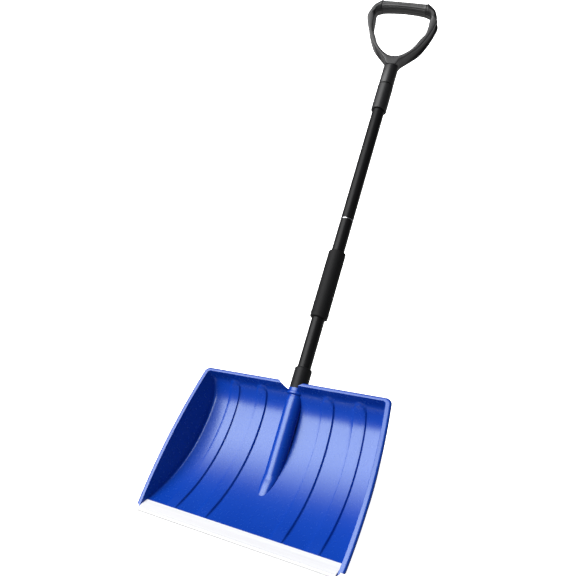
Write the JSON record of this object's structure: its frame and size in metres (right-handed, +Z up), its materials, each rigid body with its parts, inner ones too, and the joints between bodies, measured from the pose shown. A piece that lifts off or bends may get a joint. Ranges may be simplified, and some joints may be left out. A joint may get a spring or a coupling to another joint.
{
  "type": "snow shovel",
  "caption": "Snow shovel: ribbed scoop blade with a metal wear strip, two-section screw-together tube handle with mid sleeve, twist-lock collar and extending D-grip.",
  "frame": {"origin": "middle of the blade on the ground under the wear strip, 7 mm behind the strip's front edge", "axes": "+Z up from the ground, +X across the blade to the right seen from in front of the hollow side, +Y back from the leading edge towards the user"},
  "size_m": [0.4162, 0.887, 0.7603],
  "materials": {
    "blue_plastic": "glossy injection-moulded polypropylene",
    "bare_aluminium": "mill finish extruded strip",
    "black_tube": "satin black powder coat on aluminium tube",
    "black_plastic": "moulded nylon, fine spark texture",
    "grip_rubber": "soft-touch overmould",
    "pale_plastic": "natural acetal",
    "steel": "zinc-plated steel"
  },
  "bodies": {
    "blade_section": {"blade_scoop": "blue_plastic", "wear_strip": "bare_aluminium", "strip_rivets": "bare_aluminium", "blade_ferrule": "black_plastic", "socket_screw": "steel", "lower_tube": "black_tube", "lower_tube_foot": "black_plastic", "grip_sleeve": "grip_rubber", "joint_socket": "black_plastic"},
    "joint_ring": {"joint_ring": "bare_aluminium"},
    "upper_section": {"joint_stud": "steel", "joint_stud_plug": "black_plastic", "upper_tube": "black_tube", "lock_base": "black_plastic", "lock_collet": "pale_plastic"},
    "lock_collar": {"lock_collar": "black_plastic"},
    "guide_bush": {"guide_bush": "pale_plastic"},
    "grip_section": {"inner_tube": "black_tube", "inner_tube_plug": "black_plastic", "bush_clip": "steel", "d_grip_frame": "black_plastic", "d_grip_cover": "grip_rubber", "d_grip_screw": "steel"}
  },
  "joints": [
    {"name": "section_unscrew", "type": "hinge", "parent": "blade_section", "child": "joint_ring", "pos_m": [0, 0.49978, 0.36521], "axis": [0, 0.7318, 0.6815], "range_deg": [0, 1440]},
    {"name": "section_lift", "type": "slide", "parent": "joint_ring", "child": "upper_section", "axis": [0, 0.7318, 0.6815], "range_m": [0, 0.024]},
    {"name": "collar_twist", "type": "hinge", "parent": "upper_section", "child": "lock_collar", "pos_m": [0, 0.7347, 0.58396], "axis": [0, 0.7318, 0.6815], "range_deg": [0, 120]},
    {"name": "grip_extend", "type": "slide", "parent": "upper_section", "child": "guide_bush", "axis": [0, 0.7318, 0.6815], "range_m": [0, 0.18]},
    {"name": "grip_swivel", "type": "hinge", "parent": "guide_bush", "child": "grip_section", "pos_m": [0, 0.53564, 0.3986], "axis": [0, 0.7318, 0.6815], "continuous": true}
  ],
  "couplings": [
    {"joint": "section_unscrew", "follows": "section_lift", "rad_per_m": 1047.2}
  ]
}
